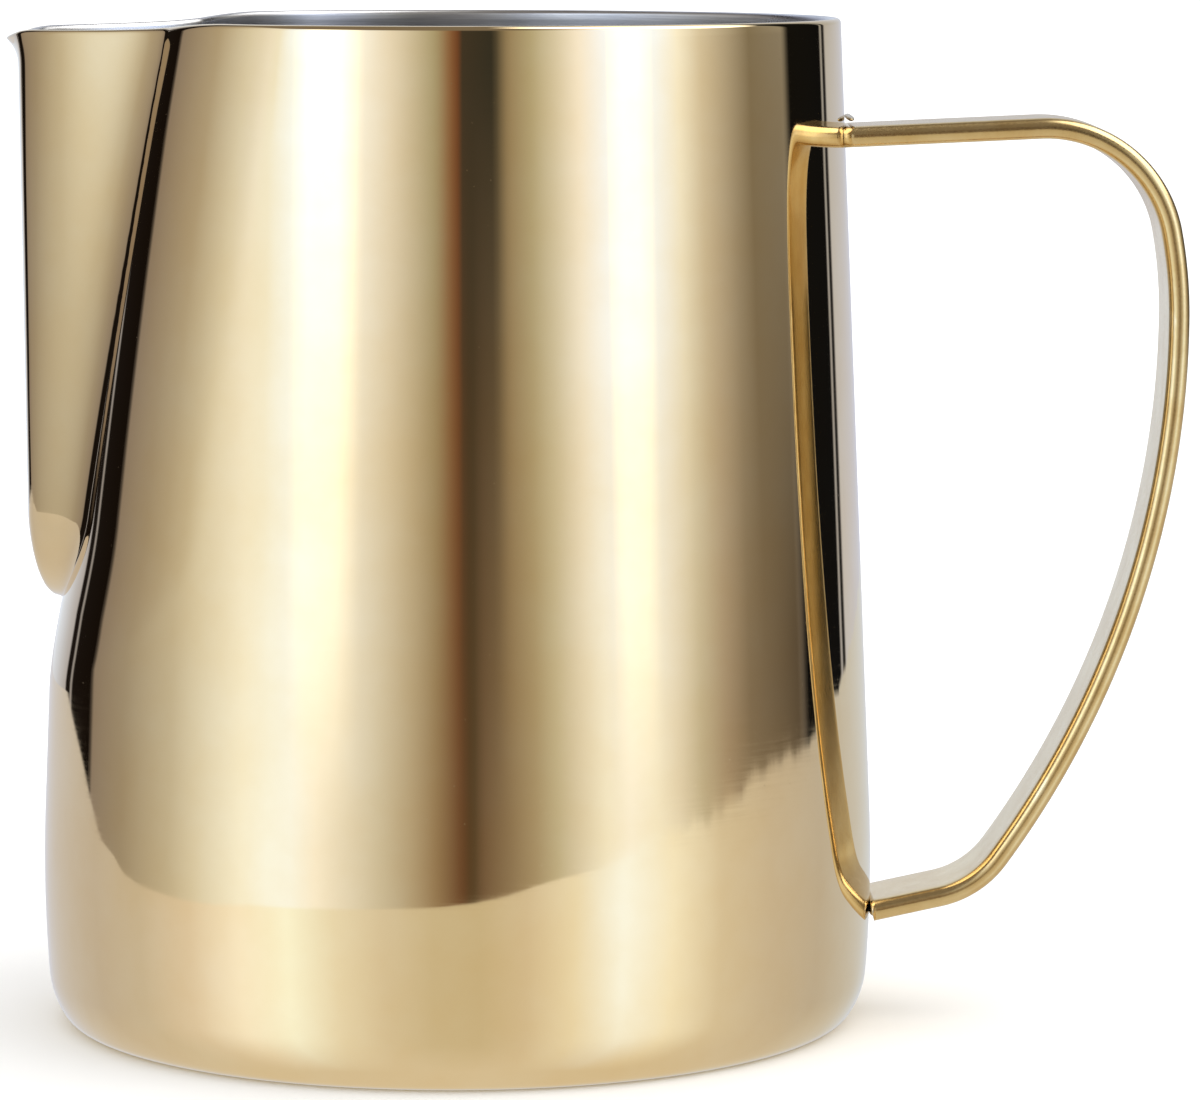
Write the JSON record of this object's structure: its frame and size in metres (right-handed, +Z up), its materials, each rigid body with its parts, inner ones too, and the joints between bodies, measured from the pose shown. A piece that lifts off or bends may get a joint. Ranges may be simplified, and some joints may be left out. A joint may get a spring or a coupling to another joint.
{
  "type": "milk frothing jug",
  "caption": "Open steel jug for steaming milk, with a pressed pouring spout and a bent strap handle welded to its wall.",
  "frame": {"origin": "centre of the flat underside, on the axis of the turned body", "axes": "+Z up along the body's axis, -X towards the spout, +X towards the handle"},
  "size_m": [0.127, 0.09, 0.1084],
  "materials": {
    "polished_gold": "gold-coloured coating over mirror-polished stainless steel; bare brushed steel inside",
    "satin_gold": "gold-coloured coating over satin stainless steel",
    "weld_gold": "gold-coloured coating over an unpolished weld"
  },
  "bodies": {
    "root": {"jug_body": "polished_gold", "strap_handle": "satin_gold", "upper_weld_bead": "weld_gold", "lower_weld_bead": "weld_gold"}
  },
  "joints": []
}
